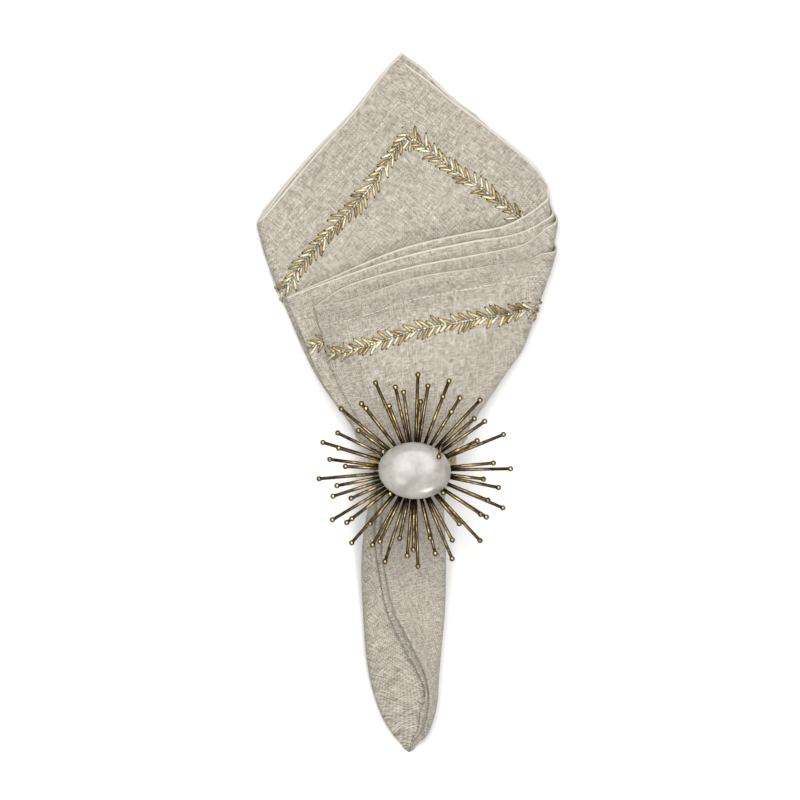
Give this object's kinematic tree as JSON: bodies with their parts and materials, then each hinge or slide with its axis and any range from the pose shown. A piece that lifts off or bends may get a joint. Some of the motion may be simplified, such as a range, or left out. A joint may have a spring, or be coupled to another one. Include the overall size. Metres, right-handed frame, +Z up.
{
  "type": "napkin in a napkin ring",
  "caption": "Linen napkin with a bead border, folded in four and rolled into a cone, held by a brass ring with a burst of ball-tipped rods round a white stone.",
  "frame": {"origin": "middle of the footprint, on the surface that the napkin and the ring lie on", "axes": "+Y from the rolled tip to the open corner, +Z up, away from the surface and towards the stone"},
  "size_m": [0.1536, 0.3609, 0.0647],
  "materials": {
    "linen": "natural linen, plain weave with slubs, hemmed all round",
    "antique_brass": "antiqued brass, darkened in the corners and rubbed bright on the rods",
    "pearl_stone": "polished white cabochon with cloudy grey veils",
    "bead_gold": "gold-lined glass bugle beads",
    "bead_silver": "silver-lined glass seed beads"
  },
  "bodies": {
    "root": {"napkin": "linen", "ring_band": "antique_brass", "setting": "antique_brass", "stone": "pearl_stone", "rod_1_01": "antique_brass", "rod_1_02": "antique_brass", "rod_1_03": "antique_brass", "rod_1_04": "antique_brass", "rod_1_05": "antique_brass", "rod_1_06": "antique_brass", "rod_1_07": "antique_brass", "rod_1_08": "antique_brass", "rod_1_09": "antique_brass", "rod_1_10": "antique_brass", "rod_1_11": "antique_brass", "rod_1_12": "antique_brass", "rod_1_13": "antique_brass", "rod_1_14": "antique_brass", "rod_1_15": "antique_brass", "rod_1_16": "antique_brass", "rod_2_01": "antique_brass", "rod_2_02": "antique_brass", "rod_2_03": "antique_brass", "rod_2_04": "antique_brass", "rod_2_05": "antique_brass", "rod_2_06": "antique_brass", "rod_2_07": "antique_brass", "rod_2_08": "antique_brass", "rod_2_09": "antique_brass", "rod_2_10": "antique_brass", "rod_2_11": "antique_brass", "rod_2_12": "antique_brass", "rod_2_13": "antique_brass", "rod_2_14": "antique_brass", "rod_3_01": "antique_brass", "rod_3_02": "antique_brass", "rod_3_03": "antique_brass", "rod_3_04": "antique_brass", "rod_3_05": "antique_brass", "rod_3_06": "antique_brass", "rod_3_07": "antique_brass", "rod_3_08": "antique_brass", "rod_3_09": "antique_brass", "rod_3_10": "antique_brass", "rod_3_11": "antique_brass", "rod_3_12": "antique_brass", "rod_3_13": "antique_brass", "rod_4_01": "antique_brass", "rod_4_02": "antique_brass", "rod_4_03": "antique_brass", "rod_4_04": "antique_brass", "rod_4_05": "antique_brass", "rod_4_06": "antique_brass", "rod_4_07": "antique_brass", "rod_4_08": "antique_brass", "rod_4_09": "antique_brass", "rod_4_10": "antique_brass", "rod_4_11": "antique_brass", "rod_4_12": "antique_brass"}
  },
  "joints": []
}
